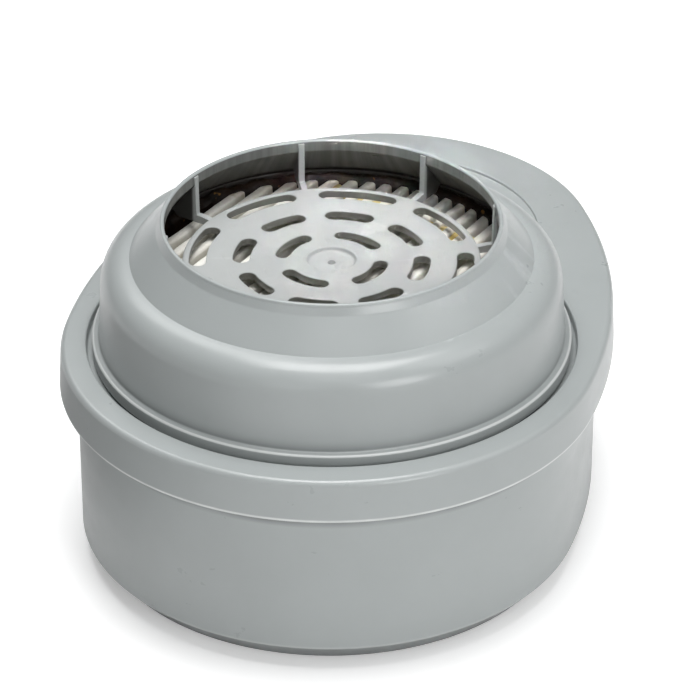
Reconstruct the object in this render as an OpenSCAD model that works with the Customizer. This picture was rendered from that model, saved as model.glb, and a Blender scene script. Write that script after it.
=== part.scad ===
// Combination respirator filter cartridge: an egg-shaped sorbent canister with a
// round pleated particulate stage under an off-centre, lift-off inlet collar.
// Millimetres. +Z is up, towards the inlet. The origin is on the collar's axis,
// in the flat base plane; the lobe of the egg outline points along +Y.

/* [Outline] */
// Radius of the wide end of the cover outline, under the collar
front_r = 38.2; // [37.6:0.1:42]
// Distance from the collar axis back to the centre of the wide end
front_back = 0.9; // [0:0.1:1.5]
// Radius of the lobe end of the cover outline
lobe_r = 31.0; // [29:0.1:34]
// Distance from the collar axis out to the centre of the lobe end
lobe_y = 31.7; // [28:0.1:34]
// Radius of the long side arcs that blend the two ends
side_r = 88.7; // [80:0.1:110]

/* [Heights] */
// Height of the flange's top face above the base plane
flange_z = 32.0; // [31:0.1:34]
// Height of the cover's skirt
skirt_h = 6.4; // [5:0.1:8]
// Thickness of the cover plate
cover_t = 2.4; // [2:0.1:2.8]
// Height of the collar's lip above the flange's top face
collar_h = 18.9; // [18:0.1:20]
// Height of the collar's shoulder crease above the flange's top face
crease_h = 13.2; // [12.8:0.1:13.6]

/* [Shell walls] */
// Step from the cover outline in to the canister wall
wall_inset = 2.2; // [2.0:0.1:2.4]
// Thickness of the canister wall
wall_t = 2.0; // [1.8:0.1:2.1]
// How far the skirt flares out towards its lower edge
skirt_flare = 0.3; // [0.1:0.05:0.4]
// Thickness of the canister floor
floor_t = 2.0; // [1.6:0.1:2.2]
// How far the bevel round the base reaches in under the canister
bevel_w = 3.1; // [2:0.1:3.4]
// How far the bevel reaches up the canister wall
bevel_h = 3.5; // [2:0.1:4]
// Radius of the rounded top edge of the flange
rim_round = 0.9; // [0.5:0.1:1.2]

/* [Inlet collar] */
// Outer radius of the collar's wall at its base
collar_r = 33.0; // [32.6:0.1:33.4]
// Outer radius of the bead round the collar's base
bead_r = 34.0; // [33.8:0.1:34.2]
// Height of that bead above the flange's top face
bead_h = 1.0; // [0.6:0.1:1.4]
// Outer radius of the groove that the bead sits in
groove_r = 34.8; // [34.5:0.1:35.2]
// Radius of the inlet opening inside the lip
mouth_r = 23.4; // [23:0.1:23.8]
// Radius of the rounded shoulder
shoulder_r = 4.1; // [3.8:0.1:4.3]
// Thickness of the collar's shell
collar_t = 1.3; // [1.1:0.1:1.4]
// Radial running clearance between collar and spigot
collar_gap = 0.08; // [0.02:0.01:0.1]

/* [Intake grille] */
// Radius of the slotted disc
disc_r = 21.0; // [20.8:0.1:21.4]
// Height of the disc's top face above the flange's top face
disc_h = 12.45; // [12.3:0.05:12.6]
// Thickness of the slotted disc
disc_t = 1.2; // [0.8:0.1:1.4]
// Thickness of each rib
rib_t = 0.85; // [0.6:0.05:1.2]
// Number of ribs
rib_n = 8; // [8:8:8]
// Width of the long slots
slot_w = 2.4; // [1.8:0.1:2.6]
// Radius of the dimple in the middle of the disc
dimple_r = 3.5; // [2:0.1:4]
// Depth of that dimple
dimple_d = 0.6; // [0.2:0.05:0.8]
// How far the inlet unit is turned anticlockwise, seen from above
unit_turn = 2; // [-10:0.5:10]

/* [Particulate stage] */
// Radius of the pleated pack
pack_r = 27.4; // [26.4:0.1:27.6]
// Distance from one pleat to the next
pleat_pitch = 2.45; // [2.2:0.05:2.8]
// Height of the pleat ridges above the flange's top face
pleat_top = 10.2; // [9.2:0.1:10.3]
// Direction of the pleats, turned from +X
pleat_dir = 71; // [0:1:179]
// Thickness of the filter paper
paper_t = 0.3; // [0.2:0.05:0.4]

/* [Sorbent stage] */
// Depth of the carbon bed
bed_h = 12.2; // [10:0.1:12.2]
// Distance from one grid slot to the next
grid_pitch = 4.0; // [3.5:0.1:5]
// Width of a grid slot
grid_slot = 2.2; // [1.5:0.1:2.6]

/* [Outlet socket] */
// Distance from the collar axis to the outlet axis, towards the lobe
outlet_y = 22; // [18:0.5:26]
// Radius of the socket's bore
outlet_r = 12.6; // [12:0.1:13]
// Radius out to the bottom of the three bayonet slots
lug_r = 14.2; // [13.8:0.1:14.3]
// Angle that each bayonet slot spans
lug_a = 26; // [16:1:28]

/* [Hidden] */
$fn = 96;

grey = [0.64, 0.67, 0.67];
pale = [0.76, 0.78, 0.78];
cream = [0.90, 0.87, 0.79];
amber = [0.45, 0.30, 0.14];
black = [0.10, 0.10, 0.10];
white = [0.88, 0.88, 0.86];

fit_gap = 0.05;                        // gap left between neighbouring parts

// Egg outline: two end circles joined by two long arcs tangent to both.
front_y = -front_back;
span = lobe_y - front_y;
side_dy = (pow(side_r - front_r, 2) - pow(side_r - lobe_r, 2) + span * span) / (2 * span);
side_x = sqrt(pow(side_r - front_r, 2) - side_dy * side_dy);
side_y = front_y + side_dy;
front_angle = atan2(front_y - side_y, side_x);
lobe_angle = atan2(lobe_y - side_y, side_x);

// Shell levels and insets.
skirt_z = flange_z - skirt_h;
cover_z = flange_z - cover_t;
body_top = cover_z - 0.1;
groove_z = flange_z - 1.4;
foot_inset = wall_inset + 0.1;         // canister's outer wall at the top of the bevel
in_wall = foot_inset + wall_t;         // canister's inner wall
fill = in_wall + 0.15;                 // everything inside the canister

// Stack of the canister's contents, from the floor up.
rest_z = floor_t + fit_gap;            // parts that stand on the floor
grid_z = 7.6;
grid_t = 1.4;
scrim_t = 0.7;
bed_z = grid_z + grid_t + scrim_t + 2 * fit_gap;
top_scrim_z = bed_z + bed_h + fit_gap;
top_grid_z = top_scrim_z + scrim_t + fit_gap;
top_grid_t = 1.25;
deck_z = 26.4;
deck_top = deck_z + 1.4;
frame_z = deck_top + 0.9;
frame_r = 30.05;                       // outside of the pleat frame
frame_bore_r = 29.0;

// Collar: its straight wall, rounded shoulder and conical top.
collar_bore_r = collar_r - collar_t;
spigot_r = collar_bore_r - collar_gap;
spigot_bore_r = 30.2;
crease_z = flange_z + crease_h;
lip_z = flange_z + collar_h;
lip_under_z = lip_z - 1.7;             // where the cone's underside meets the mouth
round_r = collar_r - 0.4 - shoulder_r; // centre of the shoulder's round
round_z = crease_z - shoulder_r;
round_in_r = shoulder_r - collar_t;    // inner radius of the same round
// Outer end of the cone's underside, as [radius, height].
under = [round_r + round_in_r * cos(100), round_z + round_in_r * sin(100)];

module egg(inset = 0) {
    reach = 60;                        // far enough to pass the side arcs
    translate([0, front_y]) circle(r = front_r - inset);
    translate([0, lobe_y]) circle(r = lobe_r - inset);
    for (s = [0, 1]) mirror([s, 0]) intersection() {
        translate([-side_x, side_y]) circle(r = side_r - inset);
        polygon([
            [0, front_y],
            [reach * cos(front_angle), front_y + reach * sin(front_angle)],
            [reach * cos(lobe_angle), lobe_y + reach * sin(lobe_angle)],
            [0, lobe_y]]);
    }
}

// One arc of an egg ring, from a profile of [inset, height] points.
module arc_sweep(profile, radius, angle)
    rotate_extrude(angle = angle) polygon([for (p = profile) [radius - p[0], p[1]]]);

// A profile of [inset, height] points swept round the egg outline, as four true arcs.
module egg_ring(profile) {
    translate([0, front_y, 0]) rotate([0, 0, 180 - front_angle])
        arc_sweep(profile, front_r, 180 + 2 * front_angle);
    translate([0, lobe_y, 0]) rotate([0, 0, lobe_angle])
        arc_sweep(profile, lobe_r, 180 - 2 * lobe_angle);
    for (s = [0, 1]) mirror([s, 0, 0])
        translate([-side_x, side_y, 0]) rotate([0, 0, front_angle])
            arc_sweep(profile, side_r, lobe_angle - front_angle);
}

module egg_plate(inset, z, t) translate([0, 0, z]) linear_extrude(t) egg(inset);

// A flat band that follows the egg outline, between two insets.
module egg_band(outer, inner, z, t) translate([0, 0, z]) linear_extrude(t)
    difference() {
        egg(outer);
        egg(inner);
    }

module tube(outer_r, inner_r, z0, z1) rotate_extrude()
    polygon([[inner_r, z0], [outer_r, z0], [outer_r, z1], [inner_r, z1]]);

// ---- Shell ----
socket_r = 17;                         // socket's body, where it passes the floor

module canister_body() {
    // Cavity, stepped in towards the floor: [further inset, height above floor, cut height]
    cavity = [[0, 1.8, cover_z], [0.9, 0.9, 3], [1.7, 0, 3]];
    color(grey) difference() {
        egg_plate(wall_inset, 0, body_top);
        for (step = cavity) egg_plate(in_wall + step[0], floor_t + step[1], step[2]);
        translate([0, outlet_y, -1]) cylinder(r = socket_r + 0.1, h = floor_t + 2);
        // Trims the outside to its slight taper and the bevel round the base.
        egg_ring([
            [1, cover_z], [1, -1],
            [foot_inset + bevel_w + bevel_w / bevel_h, -1],
            [foot_inset, bevel_h],
            [wall_inset - 0.01, cover_z]]);
    }
}

module cover_flange() {
    flare_slope = skirt_flare / (skirt_h - rim_round);
    rim = [for (a = [0:30:90])
        [rim_round * (1 - cos(a)), flange_z - rim_round * (1 - sin(a))]];
    color(grey) difference() {
        union() {
            egg_plate(-skirt_flare, skirt_z, skirt_h);
            tube(spigot_r, spigot_bore_r - 1, flange_z - 1, flange_z + 4);
        }
        egg_plate(wall_inset - 0.1, skirt_z - 1, cover_z - skirt_z + 1);
        translate([0, 0, cover_z - 1]) cylinder(r = spigot_bore_r, h = 12);
        tube(groove_r, spigot_r, groove_z, flange_z + 1);
        translate([0, 0, flange_z - 0.35]) linear_extrude(1) lobe_recess();
        // Trims the outside to the flared skirt and the rounded rim.
        egg_ring(concat(
            [[-1, skirt_z - 1], [-skirt_flare - flare_slope, skirt_z - 1]],
            rim,
            [[rim_round, flange_z + 1], [-1, flange_z + 1]]));
    }
}

// Blank kidney-shaped recess on the lobe, between the collar's groove and the rim.
module lobe_recess() {
    difference() {
        translate([0, lobe_y]) circle(r = lobe_r - 7.9);
        circle(r = groove_r + 4.2);
        // Cuts the two horns of the kidney off square.
        for (s = [0, 1]) mirror([s, 0]) translate([19.5, 20]) square([12, 13]);
    }
}

// An L-section: a thin foot on the deck and a wider band above it.
module seam_adhesive() {
    foot_z = deck_top + fit_gap;
    foot_h = 1.1;
    wide_z = foot_z + foot_h;
    color(amber) {
        egg_band(fill, fill + 0.5, foot_z, foot_h);
        egg_band(fill, fill + 1.1, wide_z, body_top - wide_z);
    }
}

// ---- Inlet unit ----
collar_foot_z = groove_z + 0.4;
disc_z = flange_z + disc_h;
rib_step = 360 / rib_n;

// Half section of the collar, as [radius, height].
module collar_outline() {
    core_r = 20;                       // inside the bore, which is cut away below
    bead_z = flange_z + bead_h;
    difference() {
        union() {
            polygon([
                [core_r, collar_foot_z], [bead_r, collar_foot_z],
                [bead_r, bead_z - 0.4], [bead_r - 0.12, bead_z - 0.12], [bead_r - 0.4, bead_z],
                [collar_r, bead_z], [round_r + shoulder_r, round_z],
                [round_r, round_z], [round_r, crease_z], [round_r - 0.1, crease_z],
                [mouth_r + 1.25, lip_z - 1.5], [mouth_r + 0.75, lip_z - 0.5],
                [mouth_r + 0.6, lip_z - 0.12], [mouth_r + 0.42, lip_z],
                [mouth_r + 0.16, lip_z], [mouth_r, lip_z - 0.15], [core_r, lip_z - 0.15]]);
            translate([round_r, round_z]) circle(r = shoulder_r);
        }
        polygon([
            [0, 0], [collar_bore_r, 0], [collar_bore_r, flange_z + 4.6],
            [round_r + round_in_r, round_z], [round_r, round_z], under,
            [mouth_r, lip_under_z], [mouth_r, lip_z + 10], [0, lip_z + 10]]);
        translate([round_r, round_z]) circle(r = round_in_r);
    }
}

module inlet_collar() { color(grey) rotate_extrude() collar_outline(); }

// Slot along a circle: centre line at radius, middle at angle, end to end 2 x half_span.
module arc_slot(radius, angle, half_span, width) {
    half = half_span - asin(width / 2 / radius);   // to the centre of each round end
    corner_x = 2 * radius * cos(half);
    corner_y = 2 * radius * sin(half);
    rotate(angle) {
        intersection() {
            difference() {
                circle(r = radius + width / 2);
                circle(r = radius - width / 2);
            }
            polygon([[0, 0], [corner_x, -corner_y], [2 * radius, 0], [corner_x, corner_y]]);
        }
        for (s = [-1, 1]) rotate(s * half) translate([radius, 0]) circle(d = 0.98 * width);
    }
}

// Rib from the disc's edge out to the cone's underside and up inside the mouth.
module grille_rib() {
    slope = (under[1] - lip_under_z) / (under[0] - mouth_r);
    inner_r = disc_r - 0.5;
    outer_r = under[0] - 0.3;
    top_z = lip_z - 0.4;
    cone_z = lip_under_z - 0.01;       // just under the cone at the mouth
    rotate([90, 0, 0]) translate([0, 0, -rib_t / 2]) linear_extrude(rib_t)
        polygon([
            [inner_r, disc_z - disc_t], [inner_r, disc_z],
            [mouth_r - 0.24, disc_z], [mouth_r - 0.24, top_z],
            [mouth_r - 0.06, top_z], [mouth_r - 0.06, cone_z],
            [mouth_r, cone_z], [outer_r, cone_z + slope * (outer_r - mouth_r)],
            [under[0] - 0.8, disc_z - 0.4], [under[0] - 1.6, disc_z - disc_t]]);
}

module grille_slots() {
    for (k = [0:rib_n - 1]) rotate(90 + unit_turn + rib_step * k) {
        arc_slot(radius = 18.85, angle = 0, half_span = 17.4, width = slot_w);
        arc_slot(radius = 12.7, angle = 0, half_span = 16, width = slot_w);
    }
    for (k = [0:rib_n / 2 - 1])
        arc_slot(radius = 7.0, angle = 90 + unit_turn + rib_step * (1.5 + 2 * k),
                 half_span = 31, width = slot_w - 0.3);
}

module intake_grille() {
    color(pale) {
        difference() {
            translate([0, 0, disc_z - disc_t]) linear_extrude(disc_t) difference() {
                circle(r = disc_r);
                grille_slots();
            }
            translate([0, 0, disc_z - dimple_d]) cylinder(r = dimple_r, h = 1);
        }
        // Small pip in the middle of the dimple.
        translate([0, 0, disc_z - disc_t]) cylinder(r = 0.5, h = disc_t - dimple_d + 0.15);
        for (k = [0:rib_n - 1]) rotate(90 + unit_turn + rib_step * (k + 0.5)) grille_rib();
    }
}

module collar_gasket() {
    color(black)
        tube(bead_r - 0.3, collar_bore_r + 0.1, groove_z + 0.02, collar_foot_z - 0.04);
}

// ---- Particulate stage ----
// Pleated paper: a wave of flat-topped folds, one paper thickness deep.
pleat_n = floor(pack_r / pleat_pitch - 0.3);   // pleats each side of the middle one
ridge = 0.25 * pleat_pitch;            // half width of a ridge, outside
valley = 0.14 * pleat_pitch;           // half width of a valley, inside
pack_top = flange_z + pleat_top;
pack_z = frame_z + 0.9;

// The two corners of a fold; a negative half width gives them in reverse order.
function fold(step, half_w, z) =
    [for (side = [-1, 1]) [step * pleat_pitch + side * half_w, z]];

pleat_upper = [for (k = [-pleat_n:pleat_n], p = concat(
    fold(k, ridge, pack_top),
    fold(k + 0.5, valley, pack_z + paper_t))) p];
pleat_lower = [for (k = [pleat_n:-1:-pleat_n], p = concat(
    fold(k + 0.5, -valley - paper_t, pack_z),
    fold(k, paper_t - ridge, pack_top - paper_t))) p];

module pleat_pack() {
    first = -(pleat_n + 0.5) * pleat_pitch;    // middle of the first valley
    length = 60;                       // longer than the pack is wide
    color(cream) rotate([0, 0, pleat_dir]) intersection() {
        rotate([90, 0, 90]) translate([0, 0, -length / 2]) linear_extrude(length)
            polygon(concat(
                [[first - 1, pack_z], [first - 1, pack_z + paper_t],
                 [first + valley, pack_z + paper_t]],
                pleat_upper, pleat_lower,
                [[first + valley + paper_t, pack_z]]));
        translate([0, 0, pack_z - 1]) cylinder(r = pack_r, h = pack_top - pack_z + 2);
    }
}

// Two rows of small blocks between the ridges.
module pleat_spacers() {
    size = [1.4, pleat_pitch - 2 * ridge - 0.12, 1.3];
    color(amber) rotate([0, 0, pleat_dir]) for (k = [-6:5], x = [-20, 20])
        translate([x - size[0] / 2, (k + 0.5) * pleat_pitch - size[1] / 2, pack_top - 1.6])
            cube(size);
}

// Cup with a flat inward ledge under the pack.
module pleat_frame() {
    ledge_r = 25.4;
    ledge_t = 0.8;
    top_z = pack_top + 0.9;
    color(black) rotate_extrude() polygon([
        [ledge_r, frame_z], [frame_r, frame_z], [frame_r, top_z], [frame_bore_r, top_z],
        [frame_bore_r, frame_z + ledge_t], [ledge_r, frame_z + ledge_t]]);
}

module potting_ring() {
    inner_r = pack_r + fit_gap;
    outer_r = frame_bore_r - fit_gap;
    color(amber) rotate_extrude() polygon([
        [inner_r, pack_z], [outer_r, pack_z], [outer_r, pack_top + 0.5],
        [28.2, pack_top + 0.2], [inner_r, pack_top - 0.6]]);
}

module filter_gasket() {
    color(black) tube(29.9, 26.0, deck_top + fit_gap, frame_z - fit_gap);
}

// Plate with a raised ring that locates the pleat frame.
module filter_deck() {
    color(white) difference() {
        union() {
            egg_plate(fill, deck_z, deck_top - deck_z);
            tube(31.3, 29.5, deck_z + 0.5, deck_top + 1.6);
        }
        translate([0, 0, deck_z - 1]) cylinder(r = 25.2, h = 5);
        translate([0, 0, deck_top]) cylinder(r = frame_r + 0.1, h = 5);
    }
}

// ---- Sorbent stage ----
// Egg plate with rows of long slots; a cross bar is left between the rows.
module slotted_plate(z, t) {
    row_pitch = 16;
    bar_w = 2;
    row_y = bar_w / 2 - 4;             // lower end of the slots in row 0
    translate([0, 0, z]) linear_extrude(t) difference() {
        egg(fill);
        intersection() {
            egg(fill + 4);
            for (i = [-8:8], j = [-3:4])
                translate([i * grid_pitch - grid_slot / 2, j * row_pitch + row_y])
                    square([grid_slot, row_pitch - bar_w]);
        }
    }
}

module compression_ring() {
    ring_z = top_grid_z + top_grid_t + fit_gap;
    color(black) egg_band(fill + 0.1, fill + 3.4, ring_z, deck_z - fit_gap - ring_z);
}

module upper_grid() { color(white) slotted_plate(top_grid_z, top_grid_t); }
module upper_scrim() { color(cream) egg_plate(fill, top_scrim_z, scrim_t); }
module carbon_bed() { color(black) egg_plate(fill + 0.05, bed_z, bed_h); }
module lower_scrim() { color(cream) egg_plate(fill, grid_z + grid_t + fit_gap, scrim_t); }

// Slotted plate on an edge wall and six posts that stand on the floor.
module lower_grid() {
    posts = [[-22, 22], [22, 22], [-18, -8], [18, -8], [0, -20], [0, 46]];   // [x, y]
    color(white) {
        slotted_plate(grid_z, grid_t);
        egg_band(in_wall + 1.8, in_wall + 3.1, rest_z, grid_z + 0.4 - floor_t);
        for (p = posts)
            translate([p[0], p[1], rest_z]) cylinder(r = 1.6, h = grid_z - floor_t + 0.2);
    }
}

// ---- Outlet ----
socket_top = 6.4;
screen_r = 12.2;
screen_z = socket_top + fit_gap;
screen_t = 0.35;
seat_r = 14.9;                         // inner radius of the gasket seat
seat_w = 1.6;
seat_d = 1.5;

module outlet_screen() {
    hole = 1.7;
    pitch = 2.4;
    color(white) translate([0, outlet_y, screen_z]) linear_extrude(screen_t) difference() {
        circle(r = screen_r);
        intersection() {
            circle(r = 10.2);
            for (i = [-4:4], j = [-4:4])
                translate([i * pitch - hole / 2, j * pitch - hole / 2]) square(hole);
        }
    }
}

module screen_retainer() {
    retainer_z = screen_z + screen_t + fit_gap;
    color(white) translate([0, outlet_y, 0]) tube(screen_r, 10.5, retainer_z, retainer_z + 0.6);
}

// Female bayonet: a plain bore with three slots at the mouth that open into a
// groove behind them, and a seat for a face gasket round the mouth.
module outlet_socket() {
    inner_r = 9.8;
    collar_out_r = 19.6;               // collar that rests on the canister floor
    collar_top = floor_t + 1.2;
    slot_h = 4;
    corner_x = 20 * cos(lug_a / 2);
    corner_y = 20 * sin(lug_a / 2);
    color(pale) translate([0, outlet_y, 0]) difference() {
        rotate_extrude() difference() {
            polygon([
                [inner_r, 0.3], [socket_r, 0.3], [socket_r, rest_z],
                [collar_out_r, rest_z], [collar_out_r, collar_top],
                [socket_r, collar_top], [16.4, socket_top], [inner_r, socket_top]]);
            translate([0, -1]) square([outlet_r, 6.5]);
            translate([0, 2.5]) square([lug_r + 0.1, 2.2]);
            translate([seat_r, 0]) square([seat_w, seat_d]);
        }
        for (k = [0:2]) rotate([0, 0, 120 * k + 90]) intersection() {
            translate([0, 0, -1]) cylinder(r = lug_r, h = slot_h);
            translate([0, 0, -1]) linear_extrude(slot_h)
                polygon([[0, 0], [corner_x, -corner_y], [corner_x, corner_y]]);
        }
    }
}

module outlet_gasket() {
    color(black) translate([0, outlet_y, 0])
        tube(seat_r + seat_w - fit_gap, seat_r + fit_gap, 0.1, seat_d - fit_gap);
}

canister_body();
cover_flange();
seam_adhesive();
inlet_collar();
intake_grille();
collar_gasket();
pleat_pack();
pleat_spacers();
pleat_frame();
potting_ring();
filter_gasket();
filter_deck();
compression_ring();
upper_grid();
upper_scrim();
carbon_bed();
lower_scrim();
lower_grid();
outlet_screen();
screen_retainer();
outlet_socket();
outlet_gasket();
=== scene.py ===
"""Filter cartridge: an egg-shaped canister with a round inlet unit on top.

The foot stands at z = 0 with +Z up. The inlet axis is x = y = 0, the egg's small end points
to +Y and the front is -Y. Sizes are in mm; MM turns them into metres.
"""
import math
import random
from math import cos, pi, radians, sin

import bmesh
import bpy
from mathutils import Matrix, Vector, noise


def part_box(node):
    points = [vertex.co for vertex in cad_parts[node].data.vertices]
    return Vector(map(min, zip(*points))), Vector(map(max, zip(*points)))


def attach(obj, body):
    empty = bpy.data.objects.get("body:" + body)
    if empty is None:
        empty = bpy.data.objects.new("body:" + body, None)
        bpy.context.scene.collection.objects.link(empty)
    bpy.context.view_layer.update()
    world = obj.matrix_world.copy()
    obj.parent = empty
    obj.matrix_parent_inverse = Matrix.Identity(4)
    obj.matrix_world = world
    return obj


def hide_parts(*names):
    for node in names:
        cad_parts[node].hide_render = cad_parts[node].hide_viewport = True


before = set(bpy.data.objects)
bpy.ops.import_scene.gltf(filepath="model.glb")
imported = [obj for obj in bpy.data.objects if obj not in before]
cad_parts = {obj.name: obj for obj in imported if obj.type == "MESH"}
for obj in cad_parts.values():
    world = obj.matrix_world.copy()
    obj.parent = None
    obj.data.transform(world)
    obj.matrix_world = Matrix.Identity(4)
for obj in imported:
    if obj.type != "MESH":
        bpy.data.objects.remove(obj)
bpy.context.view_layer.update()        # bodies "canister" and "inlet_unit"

MM = 0.001
random.seed(11)
noise.seed_set(11)


def top(node):
    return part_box(node)[1].z / MM


def bottom(node):
    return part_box(node)[0].z / MM


# ---------------------------------------------------------------- levels and main sizes
SKIRT_Z = bottom("cover_flange")
SPIGOT_Z = top("cover_flange")
FLANGE_Z = SPIGOT_Z - 4.0                     # top face of the cover plate
COVER_Z = FLANGE_Z - 2.4                      # underside of the cover plate
GROOVE_Z = FLANGE_Z - 1.4                     # floor of the groove round the spigot
BODY_TOP = top("canister_body")
CREASE_Z = FLANGE_Z + 13.2
LIP_Z = FLANGE_Z + 18.9
DISC_TOP = FLANGE_Z + 12.45
DISC_BOTTOM = bottom("intake_grille")
PLEAT_TOP = top("pleat_pack")
PLEAT_BOTTOM = bottom("pleat_pack")
OUTLET_Y = (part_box("outlet_socket")[0].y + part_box("outlet_socket")[1].y) / 2 / MM

INLET_X = INLET_Y = 0.0
TURN = 2.0                                    # inlet unit's turn about its axis, degrees
FLOOR_T = 2.0                                 # canister floor thickness
SOCKET_R = 17.0                               # outlet socket where it passes the floor
HOLE_R = SOCKET_R + 0.1

# ---------------------------------------------------------------- egg outline
LARGE_R, LARGE_Y = 38.2, -0.9                 # large (front) end arc
SMALL_R, SMALL_Y = 31.0, 31.7                 # small (back) end arc
SIDE_R = 88.7                                 # side arcs, tangent to both ends
END_GAP = SMALL_Y - LARGE_Y
SIDE_DY = ((SIDE_R - LARGE_R) ** 2 - (SIDE_R - SMALL_R) ** 2 + END_GAP ** 2) / (2 * END_GAP)
SIDE_X = math.sqrt((SIDE_R - LARGE_R) ** 2 - SIDE_DY ** 2)
SIDE_Y = LARGE_Y + SIDE_DY
LARGE_A = math.atan2(LARGE_Y - SIDE_Y, SIDE_X)     # angles where the arcs meet
SMALL_A = math.atan2(SMALL_Y - SIDE_Y, SIDE_X)
EGG_ARCS = (  # centre x, centre y, radius, start angle, end angle, points
    (-SIDE_X, SIDE_Y, SIDE_R, LARGE_A, SMALL_A, 26),
    (0, SMALL_Y, SMALL_R, SMALL_A, pi - SMALL_A, 116),
    (SIDE_X, SIDE_Y, SIDE_R, pi - SMALL_A, pi - LARGE_A, 26),
    (0, LARGE_Y, LARGE_R, pi - LARGE_A, 2 * pi + LARGE_A, 150))
EGG = [(cx, cy, radius, start + (end - start) * i / count)
       for cx, cy, radius, start, end, count in EGG_ARCS for i in range(count)]
FACING_INSET = 4                              # egg inset that facing circles line up with


def egg_loop(inset, z):
    return [((cx + (radius - inset) * cos(angle)) * MM, (cy + (radius - inset) * sin(angle)) * MM,
             z * MM) for cx, cy, radius, angle in EGG]


def facing_circle(radius, z, centre_y=0.0):
    """Circle whose points face the egg loop's points, so that the two bridge without twist."""
    loop = []
    for cx, cy, egg_radius, angle in EGG:
        dx = cx + (egg_radius - FACING_INSET) * cos(angle)
        dy = cy + (egg_radius - FACING_INSET) * sin(angle) - centre_y
        dist = math.hypot(dx, dy)
        loop.append((radius * dx / dist * MM, (centre_y + radius * dy / dist) * MM, z * MM))
    return loop


def arc(cx, cy, radius, start, end, steps):
    """Points of an arc, both ends included; angles in radians."""
    angles = [start + (end - start) * i / steps for i in range(steps + 1)]
    return [(cx + radius * cos(angle), cy + radius * sin(angle)) for angle in angles]


def level(points, z):
    """Lift (x, y) points in mm to height z, in metres."""
    return [(x * MM, y * MM, z * MM) for x, y in points]


def circle(radius, z, count, centre_y=0.0):
    return level(arc(0.0, centre_y, radius, 0, 2 * pi, count)[:-1], z)


def rounded(points, closed=False, steps=6):
    """A polyline of (a, b[, corner radius]) with its corners rounded."""
    out = []
    last = len(points) - 1
    for i, point in enumerate(points):
        corner = Vector(point[:2])
        radius = point[2] if len(point) > 2 else 0
        if radius <= 0 or (not closed and i in (0, last)):
            out.append(point[:2])
            continue
        before, after = points[i - 1], points[(i + 1) % len(points)]
        back = Vector((before[0] - point[0], before[1] - point[1]))
        ahead = Vector((after[0] - point[0], after[1] - point[1]))
        back_length, ahead_length = back.length, ahead.length
        back.normalize()
        ahead.normalize()
        angle = back.angle(ahead)
        if abs(pi - angle) < 1e-3:
            out.append(point[:2])
            continue
        trim = min(radius / math.tan(angle / 2), back_length * 0.49, ahead_length * 0.49)
        radius = trim * math.tan(angle / 2)
        centre = corner + (back + ahead).normalized() * (radius / sin(angle / 2))
        first = corner + back * trim - centre
        final = corner + ahead * trim - centre
        start = math.atan2(first.y, first.x)
        sweep = (math.atan2(final.y, final.x) - start + pi) % (2 * pi) - pi
        out += arc(centre.x, centre.y, radius, start, start + sweep, steps)
    return out


# ---------------------------------------------------------------- mesh helpers
def mesh_object(name, bm, sharp, weighted=True):
    """Turn a bmesh into a smooth object; edges over sharp degrees stay sharp (0: none)."""
    mesh = bpy.data.meshes.new(name)
    bm.to_mesh(mesh)
    bm.free()
    for face in mesh.polygons:
        face.use_smooth = True
    if sharp:
        mesh.set_sharp_from_angle(angle=radians(sharp))
    obj = bpy.data.objects.new(name, mesh)
    bpy.context.scene.collection.objects.link(obj)
    if weighted:
        modifier = obj.modifiers.new("wn", "WEIGHTED_NORMAL")
        modifier.keep_sharp = True
        modifier.weight = 80
    return obj


class Build:
    """Collects vertex loops and faces, then makes one closed mesh object."""

    def __init__(self):
        self.bm = bmesh.new()

    def bridge(self, a, b):
        for i in range(len(a)):
            j = (i + 1) % len(a)
            self.bm.faces.new((a[i], a[j], b[j], b[i]))

    def chain(self, loops, closed=False):
        rows = [[self.bm.verts.new(point) for point in loop] for loop in loops]
        for a, b in zip(rows, rows[1:]):
            self.bridge(a, b)
        if closed:
            self.bridge(rows[-1], rows[0])
        return rows

    def cap(self, row):
        self.bm.faces.new(row)

    def fill(self, *rows):
        """Triangulate the flat area between bridged loops."""
        edges = [self.bm.edges.get((row[i], row[(i + 1) % len(row)]))
                 for row in rows for i in range(len(row))]
        bmesh.ops.triangle_fill(self.bm, use_beauty=True, use_dissolve=False, edges=edges)

    def done(self, name, sharp=32, weighted=True):
        bmesh.ops.remove_doubles(self.bm, verts=self.bm.verts, dist=1e-8)
        bmesh.ops.recalc_face_normals(self.bm, faces=self.bm.faces)
        return mesh_object(name, self.bm, sharp, weighted)


def lathe(name, profile, count, centre_y=0.0, sharp=32, wobble=None):
    """Turn a closed (radius, z) profile; wobble(station, point) may move the points."""
    loops = [circle(radius, z, count, centre_y) for radius, z in profile]
    if wobble:
        loops = [[wobble(k, Vector(point)) for point in loop] for k, loop in enumerate(loops)]
    build = Build()
    build.chain(loops, closed=True)
    return build.done(name, sharp)


def place(obj, body, material, node):
    obj.data.materials.append(material)
    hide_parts(node)
    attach(obj, body)


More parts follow.
